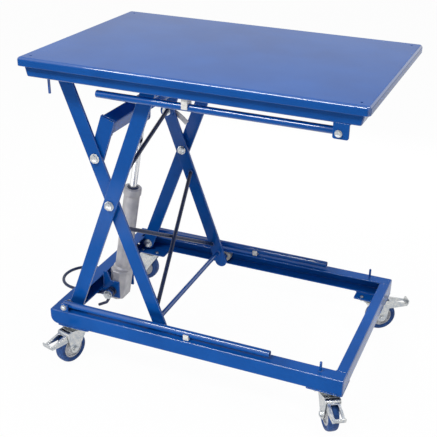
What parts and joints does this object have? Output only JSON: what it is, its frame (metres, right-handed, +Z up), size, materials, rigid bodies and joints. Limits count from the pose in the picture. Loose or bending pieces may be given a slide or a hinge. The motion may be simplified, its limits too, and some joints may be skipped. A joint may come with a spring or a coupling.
{
  "type": "scissor lift table",
  "caption": "Wheeled scissor lift table: a flat platform on crossed legs, raised by a foot-pumped cylinder, with braked casters and swing-out support struts.",
  "frame": {"origin": "on the floor, at the middle of the footprint's box", "axes": "+Z up, +X along the platform away from the foot pump, -Y to the side that the picture shows as the front"},
  "size_m": [1.068, 0.6944, 0.9019],
  "materials": {
    "blue_paint": "glossy powder coat",
    "zinc": "zinc plated",
    "grey_casting": "grey painted casting",
    "chrome_rod": "ground and chromed",
    "dark_bar": "satin paint",
    "white_plastic": "moulded",
    "cream_roller": "turned nylon",
    "blue_tyre": "smooth elastic tread",
    "grey_hub": "moulded"
  },
  "bodies": {
    "base": {"base_rail_front": "blue_paint", "base_rail_rear": "blue_paint", "base_cross_left": "blue_paint", "base_cross_right": "blue_paint", "base_clip_front": "white_plastic", "base_clip_rear": "white_plastic", "pump_bracket": "blue_paint", "caster_plate_front_left": "zinc", "caster_plate_front_right": "zinc", "caster_plate_rear_left": "zinc", "caster_plate_rear_right": "zinc"},
    "outer_frame": {"outer_leg_front": "blue_paint", "outer_leg_rear": "blue_paint", "outer_tie_bar": "blue_paint", "centre_bolt_front": "zinc", "centre_bolt_rear": "zinc"},
    "inner_frame": {"inner_leg_front": "blue_paint", "inner_leg_rear": "blue_paint", "inner_crossbar": "blue_paint", "cross_brace_a": "blue_paint", "cross_brace_b": "blue_paint", "upper_brace": "blue_paint", "lift_arm_front": "blue_paint", "lift_arm_rear": "blue_paint", "lift_crossbeam": "blue_paint"},
    "table": {"platform_pan": "blue_paint", "table_rail_front": "blue_paint", "table_rail_rear": "blue_paint", "table_end_left": "blue_paint", "table_end_right": "blue_paint", "table_clip_front": "white_plastic", "table_clip_rear": "white_plastic"},
    "pump": {"pump_cylinder": "grey_casting"},
    "piston": {"piston_rod": "chrome_rod"},
    "pedal": {"foot_pedal": "dark_bar"},
    "release": {"release_lever": "dark_bar"},
    "strut_base_front": {"base_strut_front": "blue_paint"},
    "strut_base_rear": {"base_strut_rear": "blue_paint"},
    "strut_table_front": {"table_strut_front": "blue_paint"},
    "strut_table_rear": {"table_strut_rear": "blue_paint"},
    "roller_upper_front": {"upper_roller_front": "cream_roller"},
    "roller_upper_rear": {"upper_roller_rear": "cream_roller"},
    "roller_lower_front": {"lower_roller_front": "cream_roller"},
    "roller_lower_rear": {"lower_roller_rear": "cream_roller"},
    "fork_front_left": {"caster_fork_front_left": "zinc"},
    "fork_front_right": {"caster_fork_front_right": "zinc"},
    "fork_rear_left": {"caster_fork_rear_left": "zinc"},
    "fork_rear_right": {"caster_fork_rear_right": "zinc"},
    "wheel_front_left": {"caster_hub_front_left": "grey_hub", "caster_tyre_front_left": "blue_tyre"},
    "wheel_front_right": {"caster_hub_front_right": "grey_hub", "caster_tyre_front_right": "blue_tyre"},
    "wheel_rear_left": {"caster_hub_rear_left": "grey_hub", "caster_tyre_rear_left": "blue_tyre"},
    "wheel_rear_right": {"caster_hub_rear_right": "grey_hub", "caster_tyre_rear_right": "blue_tyre"},
    "brake_front_left": {"brake_pedal_front_left": "zinc"},
    "brake_front_right": {"brake_pedal_front_right": "zinc"},
    "brake_rear_left": {"brake_pedal_rear_left": "zinc"},
    "brake_rear_right": {"brake_pedal_rear_right": "zinc"}
  },
  "joints": [
    {"name": "lift", "type": "hinge", "parent": "base", "child": "outer_frame", "pos_m": [-0.35325, 0.0201, 0.145], "axis": [0, -1, 0], "range_deg": [-42, 0]},
    {"name": "scissor", "type": "hinge", "parent": "outer_frame", "child": "inner_frame", "pos_m": [-0.21604, 0.0201, 0.51006], "axis": [0, -1, 0], "range_deg": [0, 84]},
    {"name": "table_level", "type": "hinge", "parent": "inner_frame", "child": "table", "pos_m": [-0.35325, 0.0201, 0.87513], "axis": [0, -1, 0], "range_deg": [-42, 0]},
    {"name": "cylinder_tilt", "type": "hinge", "parent": "base", "child": "pump", "pos_m": [-0.33126, 0.0201, 0.119], "axis": [0, -1, 0], "range_deg": [-22.2, 0]},
    {"name": "rod_slide", "type": "slide", "parent": "pump", "child": "piston", "axis": [0.1648, 0, 0.9863], "range_m": [-0.1975, 0]},
    {"name": "pump_stroke", "type": "hinge", "parent": "base", "child": "pedal", "pos_m": [-0.33126, 0.0201, 0.119], "axis": [0, -1, 0], "range_deg": [0, 15], "stiffness_Nm_per_rad": 1.5, "springref_deg": -34.38},
    {"name": "release_turn", "type": "hinge", "parent": "base", "child": "release", "pos_m": [-0.33126, 0.0201, 0.119], "axis": [0, -1, 0], "range_deg": [0, 20], "stiffness_Nm_per_rad": 0.2, "springref_deg": -28.65},
    {"name": "base_strut_front_swing", "type": "hinge", "parent": "base", "child": "strut_base_front", "pos_m": [-0.35525, -0.2469, 0.183], "axis": [0, -1, 0], "range_deg": [0, 90]},
    {"name": "base_strut_rear_swing", "type": "hinge", "parent": "base", "child": "strut_base_rear", "pos_m": [-0.35525, 0.2871, 0.183], "axis": [0, -1, 0], "range_deg": [0, 90]},
    {"name": "table_strut_front_swing", "type": "hinge", "parent": "table", "child": "strut_table_front", "pos_m": [0.40475, -0.2469, 0.82763], "axis": [0, -1, 0], "range_deg": [0, 90]},
    {"name": "table_strut_rear_swing", "type": "hinge", "parent": "table", "child": "strut_table_rear", "pos_m": [0.40475, 0.2871, 0.82763], "axis": [0, -1, 0], "range_deg": [0, 90]},
    {"name": "upper_roller_front_spin", "type": "hinge", "parent": "outer_frame", "child": "roller_upper_front", "pos_m": [-0.07882, -0.2469, 0.87513], "axis": [0, 1, 0], "continuous": true},
    {"name": "upper_roller_rear_spin", "type": "hinge", "parent": "outer_frame", "child": "roller_upper_rear", "pos_m": [-0.07882, 0.2871, 0.87513], "axis": [0, 1, 0], "continuous": true},
    {"name": "lower_roller_front_spin", "type": "hinge", "parent": "inner_frame", "child": "roller_lower_front", "pos_m": [-0.07882, -0.2469, 0.145], "axis": [0, 1, 0], "continuous": true},
    {"name": "lower_roller_rear_spin", "type": "hinge", "parent": "inner_frame", "child": "roller_lower_rear", "pos_m": [-0.07882, 0.2871, 0.145], "axis": [0, 1, 0], "continuous": true},
    {"name": "swivel_front_left", "type": "hinge", "parent": "base", "child": "fork_front_left", "pos_m": [-0.34025, -0.2269, 0.1], "axis": [0, 0, 1], "continuous": true},
    {"name": "swivel_front_right", "type": "hinge", "parent": "base", "child": "fork_front_right", "pos_m": [0.42374, -0.2269, 0.1], "axis": [0, 0, 1], "continuous": true},
    {"name": "swivel_rear_left", "type": "hinge", "parent": "base", "child": "fork_rear_left", "pos_m": [-0.34025, 0.2671, 0.1], "axis": [0, 0, 1], "continuous": true},
    {"name": "swivel_rear_right", "type": "hinge", "parent": "base", "child": "fork_rear_right", "pos_m": [0.42374, 0.2671, 0.1], "axis": [0, 0, 1], "continuous": true},
    {"name": "wheel_front_left_spin", "type": "hinge", "parent": "fork_front_left", "child": "wheel_front_left", "pos_m": [-0.34908, -0.25766, 0.0475], "axis": [0.9613, -0.2756, 0], "continuous": true},
    {"name": "wheel_front_right_spin", "type": "hinge", "parent": "fork_front_right", "child": "wheel_front_right", "pos_m": [0.4407, -0.25403, 0.0475], "axis": [0.848, 0.5299, 0], "continuous": true},
    {"name": "wheel_rear_left_spin", "type": "hinge", "parent": "fork_rear_left", "child": "wheel_rear_left", "pos_m": [-0.37226, 0.2671, 0.0475], "axis": [0, -1, 0], "continuous": true},
    {"name": "wheel_rear_right_spin", "type": "hinge", "parent": "fork_rear_right", "child": "wheel_rear_right", "pos_m": [0.45058, 0.28453, 0.0475], "axis": [-0.5446, 0.8387, 0], "continuous": true},
    {"name": "brake_front_left_press", "type": "hinge", "parent": "fork_front_left", "child": "brake_front_left", "pos_m": [-0.35459, -0.27688, 0.1006], "axis": [0.9613, -0.2756, 0], "range_deg": [0, 12]},
    {"name": "brake_front_right_press", "type": "hinge", "parent": "fork_front_right", "child": "brake_front_right", "pos_m": [0.4513, -0.27099, 0.1006], "axis": [0.848, 0.5299, 0], "range_deg": [0, 12]},
    {"name": "brake_rear_left_press", "type": "hinge", "parent": "fork_rear_left", "child": "brake_rear_left", "pos_m": [-0.39226, 0.2671, 0.1006], "axis": [0, -1, 0], "range_deg": [0, 12]},
    {"name": "brake_rear_right_press", "type": "hinge", "parent": "fork_rear_right", "child": "brake_rear_right", "pos_m": [0.46736, 0.29542, 0.1006], "axis": [-0.5446, 0.8387, 0], "range_deg": [0, 12]}
  ],
  "couplings": [
    {"joint": "scissor", "follows": "lift", "ratio": -2},
    {"joint": "table_level", "follows": "lift", "ratio": 1},
    {"joint": "cylinder_tilt", "follows": "lift", "ratio": 0.52277},
    {"joint": "rod_slide", "follows": "lift", "m_per_rad": 0.26846}
  ]
}
